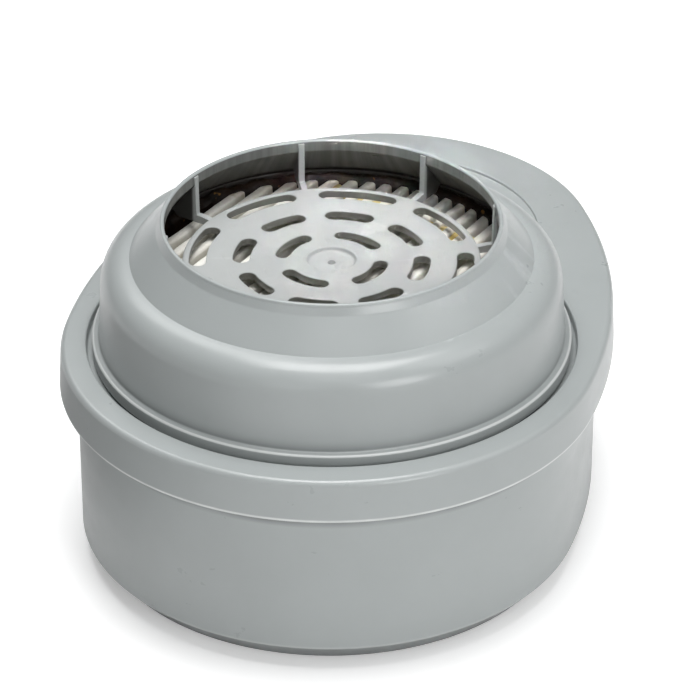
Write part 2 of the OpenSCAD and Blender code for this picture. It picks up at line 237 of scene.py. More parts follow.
# ================================================================ materials
class Shader:
    """One Principled material, with short calls for the nodes that feed it."""

    def __init__(self, name):
        self.material = bpy.data.materials.new(name)
        self.material.use_nodes = True
        self.tree = self.material.node_tree
        self.tree.nodes.clear()
        output = self.node("OutputMaterial")
        self.bsdf = self.node("BsdfPrincipled")
        self.set(output.inputs["Surface"], self.bsdf.outputs[0])
        self.coords = self.node("TexCoord").outputs["Object"]

    def node(self, kind, inputs=None, **settings):
        node = self.tree.nodes.new("ShaderNode" + kind)
        for key, value in settings.items():
            setattr(node, key, value)
        for key, value in (inputs or {}).items():
            self.set(node.inputs[key], value)
        return node

    def set(self, socket, value):
        if isinstance(value, bpy.types.NodeSocket):
            self.tree.links.new(value, socket)
        else:
            socket.default_value = (*value, 1.0) if socket.type == "RGBA" else value

    def surface(self, **inputs):
        for key, value in inputs.items():
            self.set(self.bsdf.inputs[key.replace("_", " ")], value)
        return self.material

    def noise(self, scale, detail=3, rough=0.55, vector=None, distortion=0.0):
        return self.node("TexNoise", {
            "Vector": vector or self.coords, "Scale": scale, "Detail": detail,
            "Roughness": rough, "Distortion": distortion}).outputs["Fac"]

    def stretch(self, scale, rotation=(0, 0, 0)):
        return self.node("Mapping", {"Vector": self.coords, "Rotation": rotation,
                                     "Scale": scale}).outputs["Vector"]

    def ramp(self, value, span, to=(0.0, 1.0)):
        """Map the span of a value onto the range to, clamped."""
        return self.node("MapRange", {
            "Value": value, "From Min": span[0], "From Max": span[1],
            "To Min": to[0], "To Max": to[1]}).outputs["Result"]

    def ramp_mm(self, value, span, to=(0.0, 1.0)):
        return self.ramp(value, (span[0] * MM, span[1] * MM), to)

    def math(self, operation, a, b=0.0):
        return self.node("Math", {0: a, 1: b}, operation=operation).outputs[0]

    def mul(self, a, b):
        return self.math("MULTIPLY", a, b)

    def mix(self, factor, a, b):
        return self.node("Mix", {"Factor": factor, 6: a, 7: b}, data_type="RGBA").outputs[2]

    def bump(self, height, distance, strength=1.0, normal=None):
        inputs = {"Distance": distance, "Strength": strength, "Height": height}
        if normal:
            inputs["Normal"] = normal
        return self.node("Bump", inputs).outputs["Normal"]

    def xyz(self, vector=None):
        return self.node("SeparateXYZ", {0: vector or self.coords}).outputs

    def normal_xyz(self):
        return self.xyz(self.node("NewGeometry").outputs["Normal"])

    def radius(self):
        """Distance from the inlet axis."""
        x, y, z = self.xyz()
        x = self.math("SUBTRACT", x, INLET_X)
        y = self.math("SUBTRACT", y, INLET_Y)
        return self.math("SQRT", self.math("ADD", self.mul(x, x), self.mul(y, y)))


def tone(color, gain, lift=0.0):
    return tuple(min(1, channel * gain + lift) for channel in color)


def plastic(name, color, rough=0.33, edge_wear_and_highlight=1.0, coat=0.26, painted_shading=None):
    """Satin moulded plastic: fine grain, faint mottling, handling marks, rounded edges lightened by
    rubbing and by a painted highlight.
    """
    mat = Shader(name)
    mottle = mat.noise(scale=38, detail=4, rough=0.6)
    fine = mat.noise(scale=420, rough=0.6)
    tint = mat.mix(mat.ramp(mottle, span=(0.35, 0.68)),
                   tone(color, gain=0.965), tone(color, gain=1.03))
    speck = mat.ramp(fine, span=(0.60, 0.85), to=(0.0, 0.05))
    tint = mat.mix(speck, tint, tone(color, gain=0.82))
    pointiness = mat.node("NewGeometry").outputs["Pointiness"]
    # rounded edges lightened by pointiness: partly rubbed plastic, partly painted highlight
    edge = mat.ramp(pointiness, span=(0.52, 0.60), to=(0.0, 0.55 * edge_wear_and_highlight))
    patchy = mat.ramp(mat.noise(scale=900, detail=2), span=(0.35, 0.65), to=(0.35, 1.0))
    tint = mat.mix(mat.mul(edge, patchy), tint, tone(color, gain=1.28, lift=0.02))
    # the part's shading function paints shade and highlights
    if painted_shading:
        tint = painted_shading(mat, tint)
    smear = mat.noise(scale=55, detail=5, rough=0.62, vector=mat.stretch((1, 1, 3.0)),
                      distortion=0.6)
    roughness = mat.math(
        "ADD", mat.ramp(smear, span=(0.35, 0.72), to=(rough - 0.045, rough + 0.06)),
        mat.ramp(fine, span=(0.3, 0.7), to=(-0.02, 0.02)))
    grain = mat.bump(mat.noise(scale=5200, detail=2, rough=0.5), distance=0.000018, strength=0.6)
    waves = mat.bump(mat.noise(scale=95, detail=2, rough=0.5), distance=0.00006, strength=0.25,
                     normal=grain)
    return mat.surface(Base_Color=tint, Roughness=roughness, Normal=waves, IOR=1.5,
                       Coat_Weight=coat, Coat_Roughness=0.2)


SHELL = (0.372, 0.398, 0.397)
GRILLE = (0.405, 0.422, 0.418)
EDGE_HIGHLIGHT = (0.66, 0.68, 0.67)                   # painted highlight for edges
# painted highlight on the foot's upper corner
FOOT_EDGE_HIGHLIGHT = (0.58, 0.60, 0.59)
# painted shade on the downward-facing foot bevel
FOOT_SHADE = (0.235, 0.25, 0.25)
# painted shadow under the skirt's overhang
SEAM_SHADE = (0.16, 0.17, 0.17)
# painted shade under the collar's slope, and pale streaks painted as reflected pleats
UNDERSIDE_SHADE, REFLECTED_PLEAT_STREAK = (0.075, 0.077, 0.070), (0.145, 0.148, 0.138)
# near-black painted shade inside the collar below the crease
INNER_SHADE = (0.016, 0.013, 0.010)
# painted shade in the corner above the collar's bead
CORNER_SHADE = (0.11, 0.12, 0.12)
# painted shade on the fin cheeks
CHEEK_SHADE = (0.045, 0.045, 0.042)
GATE_STUB = (0.13, 0.135, 0.13)
# painted shade on the grille's slot walls
SLOT_WALL_SHADE = (0.150, 0.150, 0.132)


def collar_shading(mat, tint):
    """Painted shade inside the collar, with pale streaks painted as reflected pleats; painted shade
    in the corner above the bead and a painted highlight on its top corner.
    """
    normal = mat.normal_xyz()
    x, y, z = mat.xyz()
    # outward part of the normal: negative on inner faces
    outward = mat.math("ADD", mat.mul(normal[0], x), mat.mul(normal[1], y))
    inward = mat.ramp_mm(outward, span=(0.0, -4))
    # painted shade on inward, downward faces, streaked with painted reflections of the pleats
    underside_shade = mat.mul(inward, mat.ramp(normal[2], span=(0.30, -0.05)))
    around = mat.node("CombineXYZ", {0: mat.math("ARCTAN2", y, x)}).outputs[0]
    reflection_streak = mat.noise(scale=16, rough=0.6, vector=around)
    under = mat.mix(mat.ramp(reflection_streak, span=(0.42, 0.66)), UNDERSIDE_SHADE, REFLECTED_PLEAT_STREAK)
    tint = mat.mix(underside_shade, tint, under)
    # near-black painted shade below the crease
    inner_shade = mat.mul(inward, mat.ramp_mm(z, span=(CREASE_Z - 0.7, CREASE_Z - 1.25)))
    tint = mat.mix(inner_shade, tint, INNER_SHADE)
    # outside: painted shade in the corner above the bead, then a painted highlight on the bead's
    # top corner
    radius = mat.radius()
    corner = mat.mul(mat.ramp_mm(z, span=(FLANGE_Z + 3.0, FLANGE_Z + 1.05)),
                     mat.ramp_mm(radius, span=(33.05, 32.98)))
    corner = mat.mul(mat.mul(corner, corner), mat.ramp_mm(outward, span=(0.0, 4)))
    corner_shade_amount, highlight_amount = 0.62, 0.7
    tint = mat.mix(mat.mul(corner, corner_shade_amount), tint, CORNER_SHADE)
    bead_highlight = mat.mul(mat.ramp_mm(radius, span=(33.60, 33.75)),
                  mat.ramp_mm(z, span=(FLANGE_Z + 0.70, FLANGE_Z + 0.82)))
    return mat.mix(mat.mul(bead_highlight, highlight_amount), tint, EDGE_HIGHLIGHT)


def rib_shade(mat, tint):
    """Painted shade on the fin cheeks under the lip; their inner edges keep the plain colour."""
    return mat.mix(mat.ramp_mm(mat.radius(), span=(23.5, 23.9)), tint, CHEEK_SHADE)


def skirt_highlight(mat, tint):
    """Painted highlight along the skirt's bottom edge."""
    # pale line painted as the highlight of floor light on the down-facing edge
    edge = mat.mul(mat.ramp_mm(mat.xyz()[2], span=(SKIRT_Z + 0.62, SKIRT_Z + 0.50)),
                   mat.ramp(mat.noise(scale=240), span=(0.25, 0.6), to=(0.6, 1.0)))
    return mat.mix(edge, tint, EDGE_HIGHLIGHT)


def foot_shading(mat, tint):
    """Painted shade on the foot bevel, a painted highlight on the corner above it, a painted shadow
    band under the skirt.
    """
    z = mat.xyz()[2]
    # painted shade on the foot bevel, which faces down
    foot = mat.mul(mat.ramp_mm(z, span=(3.15, 2.9)),
                   mat.ramp(mat.noise(scale=160, detail=4), span=(0.3, 0.7), to=(0.7, 1.0)))
    tint = mat.mix(foot, tint, FOOT_SHADE)
    # painted shadow under the skirt's overhang
    seam = mat.mul(mat.ramp_mm(z, span=(23.2, 24.0)),
                   mat.ramp(mat.noise(scale=90), span=(0.3, 0.65), to=(0.35, 0.75)))
    tint = mat.mix(seam, tint, SEAM_SHADE)
    # painted highlight on the corner above the foot bevel
    edge = mat.mul(mat.ramp_mm(z, span=(3.1, 3.25)), mat.ramp_mm(z, span=(3.75, 3.5)))
    highlight_amount = 0.55
    return mat.mix(mat.mul(edge, highlight_amount), tint, FOOT_EDGE_HIGHLIGHT)


def disc_shading(mat, tint):
    """Painted shade on the slot walls; the gate stub in the middle is darker too."""
    # painted shade on the steep slot walls
    wall = mat.mul(mat.ramp(mat.normal_xyz()[2], span=(0.45, 0.15)),
                   mat.ramp(mat.noise(scale=300), span=(0.3, 0.7), to=(0.75, 1.0)))
    stub = mat.ramp_mm(mat.radius(), span=(0.66, 0.50), to=(0.0, 0.7))
    return mat.mix(wall, mat.mix(stub, tint, GATE_STUB), SLOT_WALL_SHADE)


def paper():
    mat = Shader("pleated_filter_paper")
    z = mat.xyz()[2]
    fibres = mat.noise(scale=2600, detail=5, rough=0.7, vector=mat.stretch((1, 1, 0.35)))
    cloud = mat.noise(scale=210, detail=4, rough=0.6)
    cream, white = (0.86, 0.835, 0.75), (0.95, 0.94, 0.89)
    fibre_tan, valley, rim_brown = (0.66, 0.61, 0.50), (0.24, 0.215, 0.115), (0.42, 0.34, 0.20)
    valley_shade_amount = 0.90
    tint = mat.mix(mat.ramp(cloud, span=(0.32, 0.7)), cream, white)
    tint = mat.mix(mat.ramp(fibres, span=(0.45, 0.8), to=(0, 0.35)), tint, fibre_tan)
    # painted shade: the valley colour darkens the paper down into the folds
    depth_shade = mat.ramp_mm(z, span=(PLEAT_TOP - 0.5, PLEAT_TOP - 3.2))
    tint = mat.mix(mat.mul(depth_shade, valley_shade_amount), tint, valley)
    rim = mat.ramp_mm(mat.radius(), span=(25.8, 27.3))
    rim = mat.mul(rim, mat.ramp(mat.noise(scale=330), span=(0.45, 0.66), to=(0.0, 0.75)))
    tint = mat.mix(rim, tint, rim_brown)
    normal = mat.bump(fibres, distance=0.00005, strength=0.7)
    normal = mat.bump(mat.noise(scale=700), distance=0.00008, strength=0.5, normal=normal)
    return mat.surface(Base_Color=tint, Roughness=0.92, Normal=normal, Sheen_Weight=0.15,
                       Sheen_Roughness=0.5, IOR=1.4, Specular_IOR_Level=0.25)


def melt(name, dark, pale, rough, fleck=None):
    """Set adhesive; an optional fleck colour also dulls the highlight."""
    mat = Shader(name)
    clouds = mat.noise(scale=380, detail=4, rough=0.6)
    tint = mat.mix(mat.ramp(clouds, span=(0.35, 0.68)), dark, pale)
    if fleck:
        flecks = mat.ramp(mat.noise(scale=620, detail=2), span=(0.66, 0.72), to=(0.0, 0.8))
        tint = mat.mix(flecks, tint, fleck)
    normal = mat.bump(mat.noise(scale=700, detail=4, rough=0.6), distance=0.00025, strength=0.7)
    roughness = mat.ramp(mat.noise(scale=900), span=(0.3, 0.7), to=(rough - 0.1, rough + 0.25))
    return mat.surface(Specular_IOR_Level=0.25 if fleck else 0.5, Base_Color=tint,
                       Roughness=roughness, Normal=normal, IOR=1.48, Subsurface_Scale=0.001)


def rubber(name, color):
    mat = Shader(name)
    grain = mat.noise(scale=1500, detail=4, rough=0.7)
    tint = mat.mix(mat.ramp(grain, span=(0.4, 0.75), to=(0, 0.5)),
                   color, tone(color, gain=2.6, lift=0.01))
    normal = mat.bump(grain, distance=0.00004, strength=0.7)
    return mat.surface(Base_Color=tint, Normal=normal, IOR=1.5, Sheen_Weight=0.1,
                       Roughness=mat.ramp(grain, span=(0.3, 0.7), to=(0.55, 0.8)))


def fleece():
    mat = Shader("scrim_fleece")
    # two sets of stretched fibres that cross
    sets = [mat.noise(scale=1800, detail=5, rough=0.75, vector=mat.stretch(scale, rotation))
            for scale, rotation in (((1, 0.15, 1), (0, 0, 0.5)), ((0.15, 1, 1), (0, 0, -0.3)))]
    fibres = mat.math("MAXIMUM", *sets)
    shade, light = (0.62, 0.61, 0.56), (0.86, 0.85, 0.80)
    tint = mat.mix(mat.ramp(fibres, span=(0.45, 0.75)), shade, light)
    return mat.surface(Base_Color=tint, Roughness=0.95, Sheen_Weight=0.2,
                       Normal=mat.bump(fibres, distance=0.0001, strength=0.9))


def granules():
    mat = Shader("charcoal_granules")
    cells = mat.node("TexVoronoi", {"Vector": mat.coords, "Scale": 900}).outputs["Distance"]
    grey, black = (0.045, 0.045, 0.047), (0.008, 0.008, 0.008)
    tint = mat.mix(mat.ramp(cells, span=(0.1, 0.6)), grey, black)
    roughness = mat.ramp(mat.noise(scale=2500), span=(0.3, 0.7), to=(0.45, 0.85))
    return mat.surface(Base_Color=tint, Roughness=roughness,
                       Normal=mat.bump(cells, distance=0.0007))


GRILLE_FINISH = dict(color=GRILLE, rough=0.42, coat=0.06)
BODY_PLASTIC = plastic("shell_plastic_body", SHELL, painted_shading=foot_shading)
COVER_PLASTIC = plastic("shell_plastic_cover", SHELL, painted_shading=skirt_highlight)
GRILLE_PLASTIC = plastic("grille_plastic", **GRILLE_FINISH)
DISC_PLASTIC = plastic("grille_plastic_disc", **GRILLE_FINISH, painted_shading=disc_shading)
RIB_PLASTIC = plastic("grille_plastic_ribs", **GRILLE_FINISH, painted_shading=rib_shade)
COLLAR_PLASTIC = plastic("collar_plastic", SHELL, painted_shading=collar_shading)
WHITE_PLASTIC = plastic("inner_white_plastic", color=(0.72, 0.72, 0.69), rough=0.45, edge_wear_and_highlight=0.3)
FRAME_PLASTIC = plastic("frame_dark_plastic", color=(0.020, 0.017, 0.015), rough=0.5, edge_wear_and_highlight=0.4)
PAPER = paper()
POTTING = melt("potting_adhesive", dark=(0.005, 0.003, 0.002), pale=(0.022, 0.011, 0.005),
               rough=0.5, fleck=(0.30, 0.16, 0.04))
GLUE = melt("hot_melt_dots", dark=(0.60, 0.44, 0.13), pale=(0.82, 0.72, 0.38), rough=0.48)
SEAM_GLUE = melt("seam_adhesive", dark=(0.10, 0.06, 0.03), pale=(0.16, 0.10, 0.05), rough=0.4)
RUBBER = rubber("seal_rubber", color=(0.018, 0.018, 0.019))
FOAM = rubber("foam_strip", color=(0.03, 0.03, 0.032))
FLEECE = fleece()
CARBON = granules()


# ================================================================ canister shells
# Profile tables hold (inset or radius, z, corner radius); egg loops use insets.
def canister_body():
    """Drafted wall, bevelled foot and a round hole in the floor for the outlet socket."""
    wall_in = 4.3
    outside = rounded([(wall_in, BODY_TOP, 0.25), (2.2, BODY_TOP, 0.25), (2.3, 3.5, 0.35),
                       (5.3, 0.12, 0.9), (9.0, 0.0)], steps=7)[1:]
    hole = rounded([(20.0, 0.0), (HOLE_R, 0.0, 0.3), (HOLE_R, FLOOR_T)], steps=4)
    inside = rounded([(9.0, FLOOR_T), (6.0, FLOOR_T, 0.4), (wall_in, 3.8, 0.4),
                      (wall_in, BODY_TOP)], steps=5)
    build = Build()
    build.chain([egg_loop(*station) for station in outside]
                + [facing_circle(*station, OUTLET_Y) for station in hole]
                + [egg_loop(*station) for station in inside], closed=True)
    return build.done("canister_body_shell")


place(canister_body(), "canister", BODY_PLASTIC, "canister_body")

RECESS_OUTER_R = 23.1                         # about the small end's centre
RECESS_INNER_R = 39.0                         # about the inlet axis
RECESS_TIP_R = 1.0
RECESS_DEPTH = 0.35


def recess_outline(grow):
    """Kidney outline grown by grow: an arc at the back, one in front, and round tips."""
    tip_dist = RECESS_INNER_R + RECESS_TIP_R
    tip_y = (SMALL_Y ** 2 - (RECESS_OUTER_R - RECESS_TIP_R) ** 2 + tip_dist ** 2) / (2 * SMALL_Y)
    tip_x = math.sqrt(tip_dist ** 2 - tip_y ** 2)
    outer_a = math.atan2(tip_y - SMALL_Y, tip_x)
    inner_a = math.atan2(tip_y, tip_x)
    tip_r = RECESS_TIP_R + grow
    return (arc(0, SMALL_Y, RECESS_OUTER_R + grow, outer_a, pi - outer_a, 90)
            + arc(-tip_x, tip_y, tip_r, pi - outer_a, 2 * pi - inner_a, 10)[1:-1]
            + arc(0, 0, RECESS_INNER_R - grow, pi - inner_a, inner_a, 60)
            + arc(tip_x, tip_y, tip_r, inner_a - pi, outer_a, 10)[1:-1])


def cover_flange():
    """Skirt, rounded rim, groove and spigot round the opening, recess at the small end."""
    skirt_in, groove_r, spigot_r, opening_r = 2.1, 34.8, 31.62, 30.2
    skirt = rounded([(skirt_in, COVER_Z), (skirt_in, SKIRT_Z, 0.3), (-0.3, SKIRT_Z, 0.5),
                     (0.0, FLANGE_Z, 0.9), (3.0, FLANGE_Z)], steps=8)[:-1]
    ring = rounded([(36.5, FLANGE_Z), (groove_r, FLANGE_Z, 0.3), (groove_r, GROOVE_Z, 0.2),
                    (spigot_r, GROOVE_Z, 0.2), (spigot_r, SPIGOT_Z, 0.35),
                    (opening_r, SPIGOT_Z, 0.35), (opening_r, COVER_Z)], steps=5)[1:]
    floor_z = FLANGE_Z - RECESS_DEPTH
    recess = rounded([(2.0, FLANGE_Z), (0.0, FLANGE_Z, 0.12), (-0.06, floor_z, 0.10),
                      (-2.0, floor_z)], steps=4)[1:-1]      # (growth, z, corner radius)
    build = Build()
    skirt_rows = build.chain([egg_loop(*station) for station in skirt])
    ring_rows = build.chain([facing_circle(*station) for station in ring])
    build.bridge(ring_rows[-1], skirt_rows[0])
    recess_rows = build.chain([level(recess_outline(grow), z) for grow, z in recess])
    build.fill(skirt_rows[-1], ring_rows[0], recess_rows[0])
    build.fill(recess_rows[-1])
    return build.done("cover_flange_shell", sharp=40)


place(cover_flange(), "canister", COVER_PLASTIC, "cover_flange")

# ================================================================ inlet collar
COLLAR_BORE = 31.7
BEAD_R = 34.0
COLLAR_BASE = GROOVE_Z + 0.4
SHOULDER_ROUND = 4.1
COLLAR_WALL = 1.3
SHOULDER_R, SHOULDER_Z = 28.5, CREASE_Z - SHOULDER_ROUND      # centre of the shoulder round
LIP_BORE = 23.4
UNDER_R, UNDER_Z = 28.014, SHOULDER_Z + 2.757                 # outer end of the underside slope


def inlet_collar():
    """Bead, drafted wall, rounded shoulder, crease, sloped band and lip."""
    bead_z = FLANGE_Z + 1.0
    base = rounded([(COLLAR_BORE, COLLAR_BASE), (BEAD_R, COLLAR_BASE, 0.25), (BEAD_R, bead_z, 0.30),
                    (33.0, bead_z, 0.25), (SHOULDER_R + SHOULDER_ROUND, SHOULDER_Z)])[:-1]
    shoulder = arc(SHOULDER_R, SHOULDER_Z, SHOULDER_ROUND, 0, radians(87), 16)
    lip = rounded([(SHOULDER_R + 0.2, CREASE_Z), (28.4, CREASE_Z, 0.12),
                   (24.62, LIP_Z - 1.48, 1.2), (24.12, LIP_Z - 0.45, 0.25), (24.0, LIP_Z, 0.32),
                   (LIP_BORE, LIP_Z, 0.36), (LIP_BORE, LIP_Z - 1.7, 0.16), (UNDER_R, UNDER_Z)],
                  steps=7)[1:-1]
    inside = arc(SHOULDER_R, SHOULDER_Z, SHOULDER_ROUND - COLLAR_WALL, radians(100), 0, 12)
    profile = base + shoulder + lip + inside + [(COLLAR_BORE, FLANGE_Z + 4.6)]
    return lathe("inlet_collar_shell", profile, 320, sharp=38)


place(inlet_collar(), "inlet_unit", COLLAR_PLASTIC, "inlet_collar")

# gasket in the groove under the collar's base
GASKET = rounded([(31.8, GROOVE_Z + 0.02, 0.08), (33.7, GROOVE_Z + 0.02, 0.08),
                  (33.7, GROOVE_Z + 0.36, 0.12), (31.8, GROOVE_Z + 0.36, 0.12)],
                 closed=True, steps=3)
place(lathe("collar_gasket_ring", GASKET, 192), "canister", RUBBER,
      "collar_gasket")

# ================================================================ intake grille
SLOT_RINGS = (  # radius, first angle, count, half angle end to end, width (angles in degrees)
    (18.85, 90, 8, 17.4, 2.4), (12.7, 90, 8, 16.0, 2.4), (7.0, 157.5, 4, 31.0, 2.1))
SLOT_EDGE = (  # growth, z: rounded top edge, then the bottom edge
    (0.16, DISC_TOP), (0.07, DISC_TOP - 0.03), (0.02, DISC_TOP - 0.09), (0.0, DISC_TOP - 0.20),
    (0.0, DISC_BOTTOM + 0.1), (0.1, DISC_BOTTOM))
DISC_RIM = (  # radius, z
    (20.62, DISC_TOP), (20.86, DISC_TOP - 0.05), (20.97, DISC_TOP - 0.17),
    (21.0, DISC_TOP - 0.35), (21.0, DISC_BOTTOM + 0.12), (20.9, DISC_BOTTOM))
DIMPLE = (  # radius, drop: round hollow in the middle, with the gate stub
    (3.62, 0), (3.52, 0.03), (3.44, 0.12), (3.36, 0.34), (3.24, 0.50), (3.0, 0.58),
    (2.2, 0.60), (0.60, 0.60), (0.54, 0.57), (0.50, 0.48), (0.42, 0.45), (0.2, 0.47))


def slot_outline(radius, angle, half, width, grow):
    """Curved slot with round ends, grown by grow; angles in degrees."""
    half = radians(half) - math.asin(width / 2 / radius)
    low, high = radians(angle) - half, radians(angle) + half
    side = width / 2 + grow
    return (arc(0, 0, radius + side, low, high, 14)
            + arc(radius * cos(high), radius * sin(high), side, high, high + pi, 9)[1:-1]
            + arc(0, 0, radius - side, high, low, 14)
            + arc(radius * cos(low), radius * sin(low), side, low + pi, low + 2 * pi, 9)[1:-1])


def grille_disc():
    build = Build()
    parts = [build.chain([circle(radius, z, 200) for radius, z in DISC_RIM])]
    for radius, first, count, half, width in SLOT_RINGS:
        for k in range(count):
            angle = first + TURN + 360 / count * k
            parts.append(build.chain([level(slot_outline(radius, angle, half, width, grow), z)
                                      for grow, z in SLOT_EDGE]))
    dimple = build.chain([circle(radius, DISC_TOP - drop, 72) for radius, drop in DIMPLE])
    build.cap(dimple[-1])
    build.fill(*[rows[0] for rows in parts], dimple[0])
    build.fill(*[rows[-1] for rows in parts])
    return build.done("grille_disc", sharp=45)


place(grille_disc(), "inlet_unit", DISC_PLASTIC, "intake_grille")


def inset_outline(outline, inset):
    """Move each point along its normal, towards the middle of the outline."""
    middle = Vector((sum(p[0] for p in outline) / len(outline),
                     sum(p[1] for p in outline) / len(outline)))
    out = []
    for i, point in enumerate(outline):
        point = Vector(point)
        along = (Vector(outline[(i + 1) % len(outline)]) - Vector(outline[i - 1])).normalized()
        normal = Vector((along.y, -along.x))
        inwards = (point + normal * 0.01 - middle).length < (point - normal * 0.01 - middle).length
        out.append(point + normal * (inset if inwards else -inset))
    return out


def grille_ribs():
    """Eight thin fins from the disc's rim out to the collar's underside."""
    half = 0.425
    reach = 4.3                               # from the lip's bore out along the slope
    slope = (UNDER_Z - LIP_Z + 1.7) / (UNDER_R - LIP_BORE)
    base_z, step_z, under_z = DISC_BOTTOM + 0.04, DISC_TOP - 0.03, LIP_Z - 1.75
    outline = rounded([(20.4, base_z), (20.4, step_z), (23.05, step_z, 0.35),
                       (23.16, LIP_Z - 0.38, 0.12), (LIP_BORE - 0.04, LIP_Z - 0.38),
                       (LIP_BORE - 0.02, under_z),
                       (LIP_BORE + reach, under_z + slope * reach, 0.15),
                       (27.2, DISC_TOP - 0.4, 0.4), (26.4, base_z, 0.4)], closed=True, steps=4)
    sections = [(side, inset_outline(outline, inset)) for side, inset in (  # across, inset
        (-half, 0.12), (-half + 0.035, 0.035), (-half + 0.12, 0.0),
        (half - 0.12, 0.0), (half - 0.035, 0.035), (half, 0.12))]
    build = Build()
    for k in range(8):
        angle = radians(112.5 + TURN + 45 * k)
        outward = Vector((cos(angle), sin(angle)))
        across = Vector((-sin(angle), cos(angle)))
        loops = []
        for side, points in sections:
            spots = [(outward * p.x + across * side, p.y) for p in points]
            loops.append([(spot.x * MM, spot.y * MM, z * MM) for spot, z in spots])
        rows = build.chain(loops)
        build.fill(rows[0])
        build.fill(rows[-1])
    return build.done("grille_ribs", sharp=45)


place(grille_ribs(), "inlet_unit", RIB_PLASTIC, "intake_grille")

# ================================================================ pleated filter pack
PITCH = 2.45
PACK_R = 27.4
PLEAT_DIR = radians(71)                       # direction the folds run in
PAPER_T = 0.30
FOLDS = 10                                    # folds each side of the middle one


def pleat_path():
    """Mid-line of the folded paper as (across, z), with extra points on the long walls."""
    crest, valley = 0.56, 0.30                # half widths of the flats
    high, low = PLEAT_TOP - PAPER_T / 2 - 0.02, PLEAT_BOTTOM + PAPER_T / 2
    end = (FOLDS + 0.5) * PITCH + valley + 0.2
    points = [(-end, low)]
    for k in range(-FOLDS, FOLDS + 1):
        points += [((k - 0.5) * PITCH + valley, low, 0.22), (k * PITCH - crest, high, 0.30),
                   (k * PITCH + crest, high, 0.30), ((k + 0.5) * PITCH - valley, low, 0.22)]
    points = rounded(points + [(end, low)], steps=4)
    out = []
    for p, q in zip(points, points[1:]):
        parts = max(1, int(math.hypot(q[0] - p[0], q[1] - p[1]) / 2.2))
        out += [(p[0] + (q[0] - p[0]) * i / parts, p[1] + (q[1] - p[1]) * i / parts)
                for i in range(parts)]
    return out + [points[-1]]


def pleat_pack():
    path = pleat_path()
    last, steps = len(path) - 1, 44
    normals = []
    for i in range(last + 1):
        p, q = path[max(0, i - 1)], path[min(last, i + 1)]
        along = Vector((q[0] - p[0], q[1] - p[1])).normalized()
        normals.append(Vector((-along.y, along.x)))

    def position(i, j, side):
        across = path[i][0] + normals[i].x * PAPER_T / 2 * side
        z = path[i][1] + normals[i].y * PAPER_T / 2 * side
        along = (-1 + 2 * j / steps) * math.sqrt(PACK_R * PACK_R - across * across)
        up = (z - PLEAT_BOTTOM) / (PLEAT_TOP - PLEAT_BOTTOM)
        fold = math.floor(across / PITCH + 0.5)
        # slow bow over the pack, then each fold's own lean and height
        bow = 0.26 * noise.noise(Vector((across * 0.33, along * 0.075, 3.1)))
        lean = 0.10 * noise.noise(Vector((fold * 5.3, along * 0.25, 9.2)))
        rise = 0.16 * noise.noise(Vector((fold * 2.9, along * 0.10, 1.7))) - 0.06
        across = across + bow * up + lean * up
        return ((along * cos(PLEAT_DIR) - across * sin(PLEAT_DIR)) * MM,
                (along * sin(PLEAT_DIR) + across * cos(PLEAT_DIR)) * MM, (z + up * rise) * MM)

    bm = bmesh.new()
    grid = {(side, i, j): bm.verts.new(position(i, j, side))
            for side in (1, -1) for i in range(last + 1) for j in range(steps + 1)}

    def face(*keys):
        bm.faces.new([grid[key] for key in keys])

    for side in (1, -1):
        for i in range(last):
            for j in range(steps):
                face((side, i, j), (side, i + 1, j), (side, i + 1, j + 1), (side, i, j + 1))
    for i in range(last):
        for j in (0, steps):
            face((1, i, j), (1, i + 1, j), (-1, i + 1, j), (-1, i, j))
    for j in range(steps):
        for i in (0, last):
            face((1, i, j), (1, i, j + 1), (-1, i, j + 1), (-1, i, j))
    bmesh.ops.recalc_face_normals(bm, faces=bm.faces)
    return mesh_object("pleated_filter_pack", bm, sharp=50, weighted=False)


place(pleat_pack(), "canister", PAPER, "pleat_pack")


def add_blob(bm, centre, size, seed):
    """Lumpy ellipsoid turned to the fold direction; centre and size in metres."""
    ball = bmesh.new()
    bmesh.ops.create_icosphere(ball, subdivisions=3, radius=1.0)
    turn = Matrix.Rotation(PLEAT_DIR, 3, "Z")
    for vert in ball.verts:
        ray = vert.co.normalized()
        swell = 1 + 0.22 * noise.noise(ray * 1.7 + Vector((seed, 0, 0)))
        vert.co = centre + turn @ Vector([r * s * swell for r, s in zip(ray, size)])
    mesh = bpy.data.meshes.new("blob")
    ball.to_mesh(mesh)
    ball.free()
    bm.from_mesh(mesh)
    bpy.data.meshes.remove(mesh)


def glue_dots():
    """Two rows of dots in the valleys, one near each end of the folds."""
    bm = bmesh.new()
    count = 0
    for row in (-20, 20):
        for k in range(-6, 6):
            count += 1
            across = (k + 0.5) * PITCH
            along = row if row < 0 else 20.5 + 0.12 * across
            along += 0.5 * noise.noise(Vector((k * 1.3, row, 0.2)))
            centre = Vector((along * cos(PLEAT_DIR) - across * sin(PLEAT_DIR),
                             along * sin(PLEAT_DIR) + across * cos(PLEAT_DIR), PLEAT_TOP - 0.95))
            big = 1.0 if row < 0 else (1.5 if -5 <= k <= -2 else 1.25)
            length = big * (0.95 + 0.25 * noise.noise(Vector((k, row, 5))))
            add_blob(bm, centre * MM, (length * MM, big * 0.60 * MM, 0.66 * MM), count * 1.7)
    return mesh_object("pleat_glue_dots", bm, sharp=0, weighted=False)


place(glue_dots(), "canister", GLUE, "pleat_spacers")

